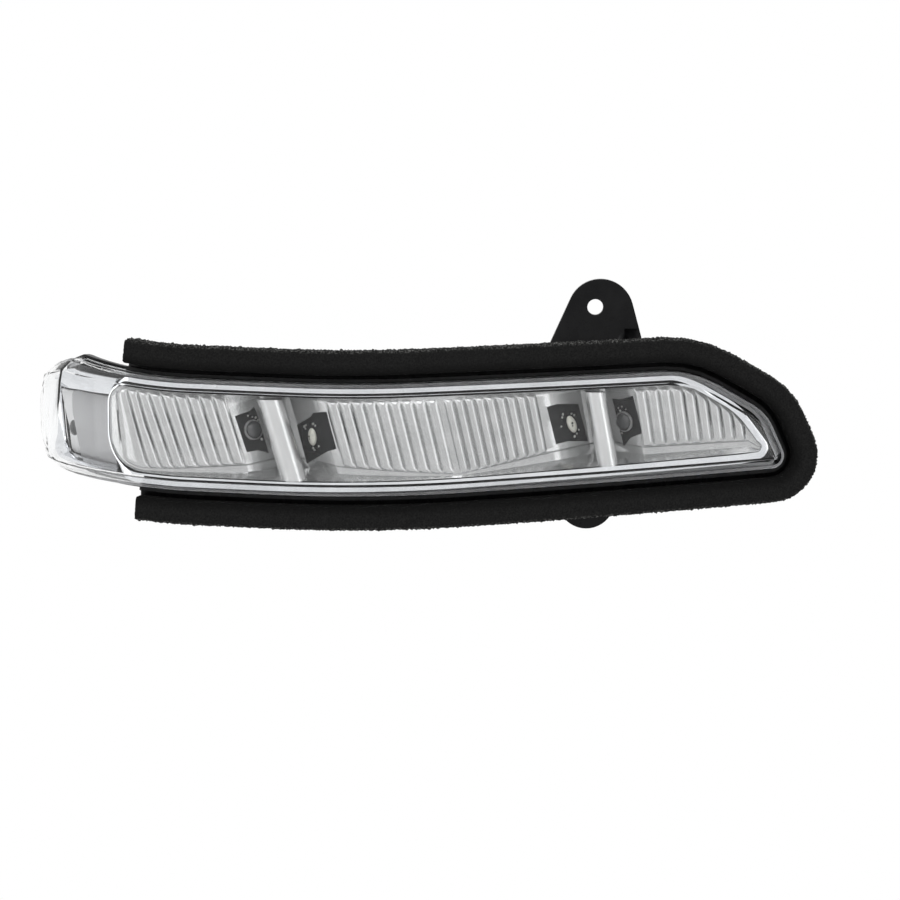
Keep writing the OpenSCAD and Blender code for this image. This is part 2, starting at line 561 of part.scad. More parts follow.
housing();
outer_lens();
sealant_bead();
foam_seal();
main_bezel();
reflector();
end_bezel();
end_panel();
pillar_left();
pillar_right();
led_board(0);  // led_board_1
led_board(1);  // led_board_2
led_board(2);  // led_board_3
led_board(3);  // led_board_4
led(0);  // led_1
led(1);  // led_2
led(2);  // led_3
led(3);  // led_4
end_board();
end_led();
main_board();
resistors();
driver_chip();
capacitor();
diode();
board_screws();
contact_pins();
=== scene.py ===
import math

import bpy
from mathutils import Matrix, Vector
from mathutils.kdtree import KDTree


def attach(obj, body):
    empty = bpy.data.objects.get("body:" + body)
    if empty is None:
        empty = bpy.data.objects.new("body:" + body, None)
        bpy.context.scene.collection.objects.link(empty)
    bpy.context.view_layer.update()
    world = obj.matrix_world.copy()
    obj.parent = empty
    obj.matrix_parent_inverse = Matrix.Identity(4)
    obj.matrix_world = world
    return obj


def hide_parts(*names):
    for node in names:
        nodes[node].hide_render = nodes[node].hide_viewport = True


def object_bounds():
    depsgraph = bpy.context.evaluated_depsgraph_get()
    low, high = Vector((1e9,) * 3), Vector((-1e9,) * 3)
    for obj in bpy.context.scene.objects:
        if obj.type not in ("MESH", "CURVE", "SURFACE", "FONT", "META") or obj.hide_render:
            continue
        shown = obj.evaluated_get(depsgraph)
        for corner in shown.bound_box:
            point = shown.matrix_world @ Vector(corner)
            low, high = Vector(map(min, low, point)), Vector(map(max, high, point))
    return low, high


mm = 0.001
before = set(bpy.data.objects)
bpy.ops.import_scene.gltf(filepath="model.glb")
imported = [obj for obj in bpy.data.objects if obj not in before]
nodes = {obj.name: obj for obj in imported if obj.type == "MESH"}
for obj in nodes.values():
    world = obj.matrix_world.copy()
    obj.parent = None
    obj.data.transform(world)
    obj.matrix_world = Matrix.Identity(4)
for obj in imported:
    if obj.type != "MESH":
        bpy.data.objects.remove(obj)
cadLow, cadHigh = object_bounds()
print("frame loaded")

# Plan curve of the lamp: a long sweep to the right, wrapped round a small radius at the left.
# A developed place is x along the sweep, z up and d behind the lens front, all in mm.
planCurve = {
    "sweepR": 500,
    "wrapR": 42,
    "wrapX": 135,  # where the small radius takes over, left of the ear
    "crestX": 40,  # where the sweep runs straight across, left of the ear
    "stand": 0.36 - cadLow.y / mm,  # how far the lens front stands before the ear's back face
}


def wrapCentre():
    # Middle of the small radius, and the turn at which it takes over.
    p = planCurve
    turn = math.asin((p["wrapX"] - p["crestX"]) / p["sweepR"])
    reach = p["sweepR"] - p["wrapR"]
    middleY = p["sweepR"] - p["stand"]
    return -p["crestX"] - reach * math.sin(turn), middleY - reach * math.cos(turn), turn


def bend(x, z, d):
    # A developed place as a point of the lamp, in metres.
    p = planCurve
    if x > -p["wrapX"]:
        a = math.asin((x + p["crestX"]) / p["sweepR"])
        r = p["sweepR"] - d
        middleY = p["sweepR"] - p["stand"]
        return Vector((-p["crestX"] + r * math.sin(a), middleY - r * math.cos(a), z)) * mm
    cx, cy, turn = wrapCentre()
    a = -turn + (x + p["wrapX"]) / p["wrapR"]
    r = p["wrapR"] - d
    return Vector((cx + r * math.sin(a), cy - r * math.cos(a), z)) * mm


def unbend(point):
    # The developed place of a point of the lamp.
    p = planCurve
    x, y, z = [v / mm for v in point]
    cx, cy, turn = wrapCentre()
    across, away = x + p["crestX"], p["sweepR"] - p["stand"] - y
    a = math.atan2(across, away)
    if a > -turn:
        return -p["crestX"] + p["sweepR"] * math.sin(a), z, p["sweepR"] - math.hypot(across, away)
    a = math.atan2(x - cx, cy - y)
    return -p["wrapX"] + (a + turn) * p["wrapR"], z, p["wrapR"] - math.hypot(x - cx, cy - y)


# Camera: level with the lamp's middle, looking down a little.
cameraSet = {
    "aim": (-43.05, -12, -41.57),
    "distance": 1200,
    "elevation": 6,
    "frameWidth": 265.5,
    "sensor": 36,
    "image": 900,
}


def cameraPlace():
    # The camera's place, and the ways that it looks in and holds upright.
    c = cameraSet
    e = math.radians(c["elevation"])
    look = Vector((0, math.cos(e), -math.sin(e)))
    up = Vector((0, math.sin(e), math.cos(e)))
    return (Vector(c["aim"]) - look * c["distance"]) * mm, look, up


def makeCamera():
    c = cameraSet
    data = bpy.data.cameras.new("viewCamera")
    data.sensor_width = c["sensor"]
    data.lens = c["sensor"] * c["distance"] / c["frameWidth"]
    data.clip_end = 20
    cam = bpy.data.objects.new("viewCamera", data)
    bpy.context.scene.collection.objects.link(cam)
    cam.location = cameraPlace()[0]
    cam.rotation_euler = (math.pi / 2 - math.radians(c["elevation"]), 0, 0)
    bpy.context.scene.camera = cam


def pixelRay(px, py):
    # Start and direction of the line of sight through a pixel of the square picture.
    c = cameraSet
    start, look, up = cameraPlace()
    scale = c["frameWidth"] / c["image"]
    target = Vector(c["aim"]) + Vector((1, 0, 0)) * (px - c["image"] / 2) * scale
    target = target - up * (py - c["image"] / 2) * scale
    return start, (target * mm - start).normalized()


# Outlines in the developed view, clockwise from the upper left: x, z and corner radius in mm.
lensCorners = [
    (-166.5, -16.5, 2), (-128, -21.3, 150), (-72, -23, 500), (29.5, -18.6, 30), (52.1, -31.7, 14),
    (59.3, -47.9, 3.8), (-67, -56.4, 600), (-126, -54.6, 100), (-178, -50, 8), (-189.5, -43.5, 7),
    (-191, -28, 8), (-183, -19.6, 8),
]
bezelCorners = [
    (-150, -21.4, 7), (-128, -23.9, 150), (-72, -25.6, 500), (28.8, -21.2, 22), (44, -29.8, 25),
    (55.1, -44.4, 3), (-67, -53.8, 600), (-126, -52, 100), (-150, -49.9, 14),
]


def roundedRing(corners, arcSteps, runSteps):
    # Points of a rounded outline, each with the direction into it.
    n = len(corners)
    flat = [Vector(c[:2]) for c in corners]
    inward = []
    for i in range(n):
        run = (flat[(i + 1) % n] - flat[i]).normalized()
        inward.append(Vector((run.y, -run.x)))
    arcs = []
    for i in range(n):
        a, b = inward[i - 1], inward[i]
        turn = math.atan2(a.x * b.y - a.y * b.x, a.dot(b))
        reach = corners[i][2] if turn < 0 else -corners[i][2]
        middle = flat[i] + reach * (a + b) / (1 + a.dot(b))
        start = math.atan2(a.y, a.x)
        ways = [start + turn * k / arcSteps for k in range(arcSteps + 1)]
        ways = [Vector((math.cos(w), math.sin(w))) for w in ways]
        arcs.append([(middle - reach * w, w) for w in ways])
    ring = []
    for i in range(n):
        ring += arcs[i]
        p, q = arcs[i][-1][0], arcs[(i + 1) % n][0][0]
        ring += [(p.lerp(q, k / runSteps), inward[i]) for k in range(1, runSteps)]
    return ring


def bandFaces(sections, points, closed):
    # Faces between neighbouring sections of a band, each section a loop of points.
    faces = []
    for i in range(sections if closed else sections - 1):
        a, b = i * points, (i + 1) % sections * points
        for k in range(points):
            m = (k + 1) % points
            faces.append((a + k, b + k, b + m, a + m))
    return faces


def fade(v, start, stop):
    # 0 before start, 1 past stop, smooth between.
    u = max(0, min(1, (v - start) / (stop - start)))
    return u * u * (3 - 2 * u)


def lookUp(x, table):
    # Height of a line through the table's points at x.
    if x <= table[0][0]:
        return table[0][1]
    for (x0, y0), (x1, y1) in zip(table, table[1:]):
        if x <= x1:
            return y0 + (y1 - y0) * (x - x0) / (x1 - x0)
    return table[-1][1]


# Helpers for work by hand in object and edit mode.
def only(*chosen):
    bpy.ops.object.select_all(action="DESELECT")
    for o in chosen:
        o.select_set(True)
    bpy.context.view_layer.objects.active = chosen[0]


def edit(o):
    only(o)
    bpy.ops.object.mode_set(mode="EDIT")
    bpy.ops.mesh.select_all(action="SELECT")


def done():
    bpy.ops.object.mode_set(mode="OBJECT")


def pick(o, what, test):
    # Leaves the faces or points that pass the test selected, in edit mode.
    edit(o)
    bpy.ops.mesh.select_mode(type=what)
    bpy.ops.mesh.select_all(action="DESELECT")
    done()
    for part in o.data.polygons if what == "FACE" else o.data.vertices:
        part.select = test(part)
    bpy.ops.object.mode_set(mode="EDIT")


def outwards(o):
    edit(o)
    bpy.ops.mesh.normals_make_consistent(inside=False)
    done()


def applyAll(o):
    only(o)
    for m in list(o.modifiers):
        bpy.ops.object.modifier_apply(modifier=m.name)


def roundEdges(o, width, segments=3, angle=30):
    b = o.modifiers.new("roundEdges", "BEVEL")
    b.width = width * mm
    b.segments = segments
    b.limit_method = "ANGLE"
    b.angle_limit = math.radians(angle)
    b.use_clamp_overlap = True
    applyAll(o)


def giveWall(o, thickness, even=False):
    # Thickness behind a surface.
    wall = o.modifiers.new("wall", "SOLIDIFY")
    wall.thickness = thickness * mm
    wall.offset = -1
    wall.use_even_offset = even
    applyAll(o)


def takeAway(o, cutter):
    cut = o.modifiers.new("cut", "BOOLEAN")
    cut.operation = "DIFFERENCE"
    cut.object = cutter
    cut.solver = "FAST"
    applyAll(o)
    bpy.data.objects.remove(cutter)


def smooth(o, angle=35):
    only(o)
    bpy.ops.object.shade_smooth_by_angle(angle=math.radians(angle))


def settle(o, name, material, slot, *stoodFor):
    # Names a finished piece, gives it its finish and puts it on the lamp.
    only(o)
    bpy.ops.object.transform_apply(location=True, rotation=True, scale=True)
    o.name = name
    o.data.name = name
    o.data.materials.clear()
    o.data.materials.append(material)
    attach(o, "root")
    if stoodFor:
        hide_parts(*stoodFor)


def twin(nodeName, quads=True):
    # A merged copy of a node's mesh, to be finished as a piece of its own.
    piece = bpy.data.objects.new(nodeName + "Copy", nodes[nodeName].data.copy())
    bpy.context.scene.collection.objects.link(piece)
    edit(piece)
    bpy.ops.mesh.remove_doubles(threshold=0.002 * mm)
    if quads:
        flat = math.radians(40)
        bpy.ops.mesh.tris_convert_to_quads(face_threshold=flat, shape_threshold=flat)
    done()
    return piece


def meshOf(name, verts, faces):
    data = bpy.data.meshes.new(name)
    data.from_pydata(verts, [], faces)
    data.update()
    o = bpy.data.objects.new(name, data)
    bpy.context.scene.collection.objects.link(o)
    return o


def roundBlob(x, y, z):
    # A round blob at the origin, from its half sizes in mm.
    bpy.ops.object.select_all(action="DESELECT")
    bpy.ops.mesh.primitive_uv_sphere_add(segments=32, ring_count=16, radius=mm)
    blob = bpy.context.object
    blob.scale = (x, y, z)
    bpy.ops.object.transform_apply(location=False, rotation=False, scale=True)
    return blob


sightSet = {"near": 1.19, "far": 1.235}  # metres from the camera, before and behind the reflector


def sightPrism(shape):
    # A closed prism along the lines of sight through a shape of the picture.
    verts = []
    for reach in (sightSet["near"], sightSet["far"]):
        for px, py in shape:
            start, way = pixelRay(px, py)
            verts.append(start + way * reach)
    n = len(shape)
    faces = [tuple(range(n)), tuple(range(2 * n - 1, n - 1, -1))]
    faces += [(i, i + n, (i + 1) % n + n, (i + 1) % n) for i in range(n)]
    prism = meshOf("sightPrism", verts, faces)
    outwards(prism)
    return prism


def pinMarks(o, places, radius, wire=0.22):
    # Round marks of the mould's pins, where the lines of sight meet the piece.
    marks = []
    for px, py in places:
        start, way = pixelRay(px, py)
        hit, place, normal, face = o.ray_cast(start, way)
        if not hit:
            continue
        bpy.ops.object.select_all(action="DESELECT")
        bpy.ops.mesh.primitive_torus_add(
            major_segments=20, minor_segments=8, major_radius=radius * mm,
            minor_radius=wire * radius * mm, location=place,
            rotation=normal.to_track_quat("Z", "Y").to_euler())
        marks.append(bpy.context.object)
    only(o, *marks)
    bpy.ops.object.join()


# Materials, with their grain on Object coordinates
def newMaterial(name):
    m = bpy.data.materials.new(name)
    m.use_nodes = True
    tree = m.node_tree
    return m, tree, tree.nodes["Principled BSDF"]


def addNode(tree, kind, **values):
    n = tree.nodes.new(kind)
    for key, value in values.items():
        if hasattr(n, key):
            setattr(n, key, value)
        else:
            n.inputs[key].default_value = value
    return n


def grainOf(tree, scale, detail=4, rough=0.6):
    place = addNode(tree, "ShaderNodeTexCoord")
    grain = addNode(tree, "ShaderNodeTexNoise", Scale=scale, Detail=detail, Roughness=rough)
    tree.links.new(place.outputs["Object"], grain.inputs["Vector"])
    return grain


def addBump(tree, shader, grain, strength, distance):
    bump = addNode(tree, "ShaderNodeBump", Strength=strength, Distance=distance)
    tree.links.new(grain.outputs["Fac"], bump.inputs["Height"])
    tree.links.new(bump.outputs["Normal"], shader.inputs["Normal"])


def spread(tree, source, low, high, target):
    # Maps a 0 to 1 pattern onto a socket's range.
    span = addNode(tree, "ShaderNodeMapRange")
    span.inputs["To Min"].default_value = low
    span.inputs["To Max"].default_value = high
    tree.links.new(source, span.inputs["Value"])
    tree.links.new(span.outputs["Result"], target)


def tint(tree, source, low, high, target, start=0.3, stop=0.7):
    ramp = addNode(tree, "ShaderNodeValToRGB")
    ramp.color_ramp.elements[0].position = start
    ramp.color_ramp.elements[0].color = (*low, 1)
    ramp.color_ramp.elements[1].position = stop
    ramp.color_ramp.elements[1].color = (*high, 1)
    tree.links.new(source, ramp.inputs["Fac"])
    tree.links.new(ramp.outputs["Color"], target)


def softStep(tree, source, start, stop, low=0):
    # A smooth step of a value from low to 1.
    step = addNode(tree, "ShaderNodeMapRange", interpolation_type="SMOOTHSTEP")
    step.inputs["From Min"].default_value = start
    step.inputs["From Max"].default_value = stop
    step.inputs["To Min"].default_value = low
    tree.links.new(source, step.inputs["Value"])
    return step.outputs["Result"]


def metalFinish(name, dark, light, rough, scale, bump, metallic=1):
    m, tree, shader = newMaterial(name)
    shader.inputs["Metallic"].default_value = metallic
    grain = grainOf(tree, scale)
    tint(tree, grain.outputs["Fac"], dark, light, shader.inputs["Base Color"])
    spread(tree, grain.outputs["Fac"], *rough, shader.inputs["Roughness"])
    addBump(tree, shader, grainOf(tree, scale * 6, 2), bump, 0.05 * mm)
    return m


def plasticFinish(name, dark, light, rough, scale, bump, gloss=0.5, coat=0):
    m, tree, shader = newMaterial(name)
    grain = grainOf(tree, scale)
    tint(tree, grain.outputs["Fac"], dark, light, shader.inputs["Base Color"])
    spread(tree, grain.outputs["Fac"], *rough, shader.inputs["Roughness"])
    addBump(tree, shader, grainOf(tree, scale * 8, 3), bump, 0.05 * mm)
    shader.inputs["Specular IOR Level"].default_value = gloss
    shader.inputs["Coat Weight"].default_value = coat
    shader.inputs["Coat Roughness"].default_value = 0.08
    return m


def clearFinish(name, colour, rough, bump, ior):
    # Clear plastic that lets the studio's light reach what is behind it.
    m, tree, shader = newMaterial(name)
    shader.inputs["Base Color"].default_value = (*colour, 1)
    shader.inputs["Roughness"].default_value = rough
    shader.inputs["IOR"].default_value = ior
    shader.inputs["Transmission Weight"].default_value = 1
    addBump(tree, shader, grainOf(tree, 60, 2), bump, 0.2 * mm)
    path = addNode(tree, "ShaderNodeLightPath")
    through = addNode(tree, "ShaderNodeBsdfTransparent")
    through.inputs["Color"].default_value = (*colour, 1)
    mix = addNode(tree, "ShaderNodeMixShader")
    tree.links.new(path.outputs["Is Shadow Ray"], mix.inputs["Fac"])
    tree.links.new(shader.outputs["BSDF"], mix.inputs[1])
    tree.links.new(through.outputs["BSDF"], mix.inputs[2])
    tree.links.new(mix.outputs["Shader"], tree.nodes["Material Output"].inputs["Surface"])
    return m


# Foam: dark smooth cells on the face, with painted shade darkening it towards the lens, loose grey
# cells on the outer edge.
foamLook = {
    "cellDark": (0.004, 0.004, 0.0042),
    "cellLight": (0.022, 0.022, 0.0215),
    "speckDark": (0.012, 0.012, 0.0118),
    "speckLight": (0.3, 0.3, 0.29),
    "specksFrom": (0.84, 1.02),  # across the strip, 0 at the lens side and 1 at the outer edge
    # painted shade towards the lens: where across the strip it fades out, and how dark it is at the
    # lens side
    "shadeTo": (0.05, 0.5),
    "shadeLow": 0.35,
}


def foamFinish():
    f = foamLook
    m, tree, shader = newMaterial("openCellFoam")
    pores = grainOf(tree, 2200, 5, 0.7)
    specks = grainOf(tree, 1500, 3, 0.8)
    across = addNode(tree, "ShaderNodeAttribute", attribute_name="across").outputs["Fac"]
    face = addNode(tree, "ShaderNodeMix", data_type="RGBA")
    tint(tree, pores.outputs["Fac"], f["cellDark"], f["cellLight"], face.inputs["A"], 0.35, 0.75)
    tint(tree, specks.outputs["Fac"], f["speckDark"], f["speckLight"], face.inputs["B"], 0.5, 0.72)
    tree.links.new(softStep(tree, across, *f["specksFrom"]), face.inputs["Factor"])
    # painted shade: the face colour is multiplied darker towards the lens side of the strip
    paintedShade = addNode(tree, "ShaderNodeMix", data_type="RGBA", blend_type="MULTIPLY")
    paintedShade.inputs["Factor"].default_value = 1
    tree.links.new(face.outputs["Result"], paintedShade.inputs["A"])
    tree.links.new(softStep(tree, across, *f["shadeTo"], f["shadeLow"]), paintedShade.inputs["B"])
    tree.links.new(paintedShade.outputs["Result"], shader.inputs["Base Color"])
    shader.inputs["Roughness"].default_value = 0.95
    shader.inputs["Specular IOR Level"].default_value = 0.15
    addBump(tree, shader, pores, 0.4, 0.25 * mm)
    return m


# A low refractive index keeps the white room's reflection off the dark boards behind the lens.
lensClear = clearFinish("clearPolycarbonate", (0.985, 0.99, 0.992), 0, 0.02, ior=1.33)
chrome = metalFinish("vacuumChrome", (0.66, 0.67, 0.69), (0.78, 0.79, 0.81),
                     rough=(0.05, 0.12), scale=90, bump=0.03)
satinChrome = metalFinish("satinReflector", (0.43, 0.435, 0.435), (0.51, 0.51, 0.51),
                          rough=(0.14, 0.22), scale=140, bump=0.008, metallic=0.75)
barChrome = metalFinish("frostedBar", (0.56, 0.565, 0.565), (0.63, 0.63, 0.63),
                        rough=(0.16, 0.22), scale=160, bump=0.01, metallic=0.7)
blackGloss = plasticFinish("blackHousing", (0.004, 0.004, 0.0045), (0.009, 0.009, 0.0095),
                           rough=(0.2, 0.36), scale=200, bump=0.08, gloss=0.12)
foam = foamFinish()
sealant = plasticFinish("greySealant", (0.42, 0.42, 0.43), (0.5, 0.5, 0.51),
                        rough=(0.4, 0.55), scale=300, bump=0.2)
panelGrey = plasticFinish("silverPanel", (0.345, 0.345, 0.353), (0.385, 0.385, 0.393),
                          rough=(0.2, 0.3), scale=120, bump=0.02)
boardWhite = plasticFinish("whiteSolderMask", (0.6, 0.6, 0.605), (0.68, 0.68, 0.685),
                           rough=(0.35, 0.5), scale=300, bump=0.05)
boardBlack = plasticFinish("blackSolderMask", (0.004, 0.004, 0.0045), (0.02, 0.021, 0.022),
                           rough=(0.3, 0.45), scale=500, bump=0.1, gloss=0.2)
boardGreen = plasticFinish("greenSolderMask", (0.01, 0.06, 0.02), (0.02, 0.11, 0.04),
                           rough=(0.3, 0.45), scale=400, bump=0.1)
ledCream = plasticFinish("lampPackage", (0.56, 0.56, 0.5), (0.72, 0.71, 0.64),
                         rough=(0.3, 0.45), scale=700, bump=0.1)
domeDark = plasticFinish("smokedDome", (0.028, 0.029, 0.03), (0.055, 0.056, 0.058),
                         rough=(0.2, 0.3), scale=500, bump=0.02, coat=0.2)
domeRing = plasticFinish("domeRing", (0.14, 0.14, 0.14), (0.22, 0.22, 0.22),
                         rough=(0.2, 0.35), scale=500, bump=0.05)
chipBlack = plasticFinish("mouldedPackage", (0.012, 0.012, 0.012), (0.025, 0.025, 0.025),
                          rough=(0.5, 0.7), scale=500, bump=0.2)
canMetal = metalFinish("drawnCan", (0.66, 0.67, 0.68), (0.76, 0.77, 0.78),
                       rough=(0.25, 0.35), scale=300, bump=0.1)
zincSteel = metalFinish("zincPlatedSteel", (0.5, 0.5, 0.5), (0.64, 0.64, 0.63),
                        rough=(0.28, 0.42), scale=500, bump=0.2)
tinned = metalFinish("tinnedContact", (0.6, 0.59, 0.56), (0.72, 0.71, 0.68),
                     rough=(0.2, 0.34), scale=500, bump=0.2)
solder = metalFinish("solderBlob", (0.36, 0.36, 0.35), (0.62, 0.62, 0.6),
                     rough=(0.25, 0.45), scale=900, bump=0.3)
print("materials made")


# Outer lens: its outside is the node's, its wall is even.
lensSet = {"edge": 0.4, "segments": 4, "wall": 1.4, "skirtBack": 9.7}


def makeLens():
    s = lensSet
    lens = twin("outer_lens")
    points = lens.data.vertices
    pick(lens, "FACE", lambda f: all(unbend(points[i].co)[2] > s["skirtBack"] for i in f.vertices))
    bpy.ops.mesh.delete(type="FACE")
    bpy.ops.mesh.select_all(action="SELECT")
    bpy.ops.mesh.separate(type="LOOSE")
    done()
    halves = sorted(bpy.context.selected_objects, key=lambda o: o.dimensions.x)
    lens = halves.pop()  # the outside is the longer of the two
    for inner in halves:
        bpy.data.objects.remove(inner)
    giveWall(lens, s["wall"], even=True)
    roundEdges(lens, s["edge"], s["segments"], 25)
    smooth(lens, 40)
    settle(lens, "outerLens", lensClear, "lens", "outer_lens")


# Housing
housingSet = {"edge": 0.25}


def makeHousing():
    shell = twin("housing")
    roundEdges(shell, housingSet["edge"], 2, 35)
    smooth(shell, 32)
    settle(shell, "lampHousing", blackGloss, "housing", "housing")


# Foam seal: a strip with open pores, rounded by the remesh. Its cut outer edge is loose and rough.
foamSet = {
    "edge": 0.9,
    "voxel": 0.45,
    "pore": 0.35,
    "poreScale": 0.7,
    "fuzz": 1.5,
    "fuzzScale": 0.5,
    "poreLevel": 0.6,  # more goes in than stands out
    "roughFrom": 0.8,  # across the strip, as in the foam's finish
    "gap": 2.8,
    "width": 7.4,
}


def poreDepth(strip, name, scale, strength, group=""):
    pores = bpy.data.textures.new(name, "CLOUDS")
    pores.noise_scale = scale * mm
    pores.noise_depth = 2
    d = strip.modifiers.new(name, "DISPLACE")
    d.texture = pores
    d.texture_coords = "LOCAL"
    d.strength = strength * mm
    d.mid_level = foamSet["poreLevel"]
    d.vertex_group = group


def acrossFoam(strip):
    # How far each point lies across the strip, from its distance to the lens outline.
    s = foamSet
    ring = roundedRing(lensCorners, 24, 60)
    nearest = KDTree(len(ring))
    for k, (place, way) in enumerate(ring):
        nearest.insert((place.x, place.y, 0), k)
    nearest.balance()
    across = []
    for v in strip.data.vertices:
        x, z, d = unbend(v.co)
        across.append((nearest.find((x, z, 0))[2] - s["gap"]) / s["width"])
    return across


def makeFoam():
    s = foamSet
    strip = twin("foam_seal", False)
    roundEdges(strip, s["edge"], 3, 40)
    cells = strip.modifiers.new("cells", "REMESH")
    cells.mode = "VOXEL"
    cells.voxel_size = s["voxel"] * mm
    applyAll(strip)
    across = acrossFoam(strip)
    strip.data.attributes.new("across", "FLOAT", "POINT").data.foreach_set("value", across)
    rough = strip.vertex_groups.new(name="roughEdge")
    for i, a in enumerate(across):
        rough.add([i], fade(a, s["roughFrom"], 1), "REPLACE")
    poreDepth(strip, "smallPores", s["poreScale"], s["pore"])
    poreDepth(strip, "looseCells", s["fuzzScale"], s["fuzz"], "roughEdge")
    applyAll(strip)
    smooth(strip, 60)
    settle(strip, "foamSeal", foam, "foam", "foam_seal")


# Reflector: slanted half-round ribs on walls that fold back to the two pairs of lamps, with a
# sloped floor under each wall. Lines along the sheet go by developed x.
reflectorSet = {
    "inset": 1.6,  # gap to the bezel's outline
    "edgeDepth": 6.1,
    "thickness": 1.3,
    "ribHeight": 0.95,
    "ribArc": 55,
    "ribSteps": 10,
    "ribEnd": 1.7,
    "wallSteps": 14,
    "head": 0.9,  # height of the fold along the top edge
    "floorPart": 0.45,  # most of the height that the floor may take
    "step": 0.5,  # ledge between floor and wall
    "slit": 1.0,
    "slitHalf": 0.16,
    "slitFade": 0.08,
    "leftLamps": -97.6,
    "rightLamps": 0.6,
    "ridge": -46,
    "pits": [(512, 477), (525, 475), (537, 474), (548, 473), (352, 481), (365, 481), (310, 463),
             (315, 469), (323, 467), (236, 476)],
    "pitRadius": 0.42,
}
# Window outlines in the picture's pixels.
windowShapes = [
    [(235, 416), (250, 411), (254, 407), (257, 413), (269, 453), (258, 450), (247, 452)],
    [(297, 425), (311, 416.5), (313, 413), (326.6, 411.6), (336.5, 448.7), (327, 451.5),
     (307, 463.5)],
    [(546.7, 407), (557, 404), (578, 404), (588, 441), (568, 441), (556, 444), (552, 428)],
    [(612, 398.6), (619, 399.6), (632.8, 395.8), (642, 433), (630.6, 437.5), (623.6, 446)],
]


def sheetEdges():
    # The sheet's top and bottom edge, just inside the bezel.
    ring = [p + way * reflectorSet["inset"] for p, way in roundedRing(bezelCorners, 12, 20)]
    left = min(range(len(ring)), key=lambda i: ring[i].x)
    ring = ring[left:] + ring[:left + 1]
    right = max(range(len(ring)), key=lambda i: ring[i].x)
    top = [(p.x, p.y) for p in ring[:right + 1]]
    low = [(p.x, p.y) for p in reversed(ring[right:])]
    return sorted(top), sorted(low)


def sheetLines():
    # Depth of the wall, lean of the ribs and height of the floor.
    s = reflectorSet
    left, right, ridge = s["leftLamps"], s["rightLamps"], s["ridge"]
    depth = [(-147, 6.4), (left - 14, 9.5), (left - 4.6, 16), (left + 4.6, 16), (left + 15.4, 8),
             (ridge, 6.2), (right - 15.6, 9), (right - 3.8, 16), (right + 3.8, 16),
             (right + 11.8, 9), (50.8, 6.4)]
    lean = [(-148, 0.03), (-147, 0.06), (-144.5, 0.35), (left, 0.3), (right, 0.18), (50.8, 0.12)]
    floor = [(-147, 1), (left - 14, 4.1), (left - 4.6, 6), (left + 4.6, 6), (left + 15.6, 4.4),
             (ridge - 2, 1.2), (ridge + 2, 1.2), (right - 15.8, 5.4), (right - 3.8, 6),
             (right + 3.8, 6), (right + 11.8, 4.3), (47.3, 3.5)]
    return depth, lean, floor


def ribColumns(first, count, pitch, slitFrom=0, slitTo=0):
    # Columns across a group of ribs: place, height of the rib there, and where its slit runs.
    s = reflectorSet
    arc = math.radians(s["ribArc"])
    cols = []
    for k in range(count * s["ribSteps"] + 1):
        u = (k % s["ribSteps"]) / s["ribSteps"]
        x = first + pitch * k / s["ribSteps"]
        bump = (math.cos((2 * u - 1) * arc) - math.cos(arc)) / (1 - math.cos(arc))
        if u == 0 and slitTo > 0:
            beside = s["slitHalf"]
            cols += [(x - beside, 0.08, 0, 0), (x, 0, slitFrom, slitTo), (x + beside, 0.08, 0, 0)]
        else:
            cols.append((x, bump, 0, 0))
    return cols


def plainColumns(start, stop, step=1.5):
    n = max(2, math.ceil((stop - start) / step))
    return [(start + (stop - start) * k / n, 0, 0, 0) for k in range(n + 1)]


def sheetColumns():
    left, right = reflectorSet["leftLamps"], reflectorSet["rightLamps"]
    groups = [
        plainColumns(-148, -147, 0.5),
        ribColumns(-146.4, 9, 3.85, 0.25, 0.75),
        plainColumns(left - 13.6, left - 4.6),
        plainColumns(left + 4.6, left + 15),
        ribColumns(-80.9, 2, 3.76, 0.3, 0.85),
        ribColumns(-73.38, 7, 3.76),
        ribColumns(-45.4, 9, 3.12),
        plainColumns(right - 15.2, right - 3.8),
        plainColumns(right + 3.8, right + 11.4),
        ribColumns(right + 11.6, 3, 3.7),
        ribColumns(right + 22.7, 6, 3.7, 0.4, 0.94),
        plainColumns(46.4, 52.6, 1),
    ]
    cols = []
    for group in groups:
        for col in group:
            if not cols or col[0] > cols[-1][0] + 0.05:
                cols.append(col)
    return cols


def sheetRows(height, wall, foot, bump, slitFrom, slitTo):
    # One column's points from its lower edge up: height, depth and how far they rise forward.
    s = reflectorSet
    foot = min(height * s["floorPart"], foot)
    floorBack = wall + s["step"] * min(1, foot / 3)
    head = max(foot + 0.2, height - s["head"])
    spanned = max(0.1, head - foot)
    endRun = min(s["ribEnd"], spanned / 2)
    ends = [0.0, 0.12, 0.3, 0.55, 0.8, 1.0]  # finer steps over a rib's rounded end
    low, high = foot + 0.05, head - 0.05
    levels = [low + endRun * e for e in ends]
    start, n = levels[-1], s["wallSteps"]
    levels += [start + (high - endRun - start) * k / n for k in range(1, n)]
    levels += [high - endRun * e for e in reversed(ends)]
    rows = [(0, s["edgeDepth"], 0), (foot * 0.45, floorBack, 0), (foot * 0.9, floorBack, 0),
            (foot, wall, 0)]
    for v in levels:
        nearEnd = max(0, min(1, min(v - low, high - v) / endRun))
        swell = math.sqrt(max(0, 1 - (1 - nearEnd) ** 2))
        u = (v - foot) / spanned
        slit = 0
        if slitTo:
            slit = fade(u, slitFrom, slitFrom + s["slitFade"])
            slit *= 1 - fade(u, slitTo - s["slitFade"], slitTo)
        rows.append((v, wall, s["ribHeight"] * bump * swell - s["slit"] * slit))
    return rows + [(head, wall, 0), (height, s["edgeDepth"], 0)]


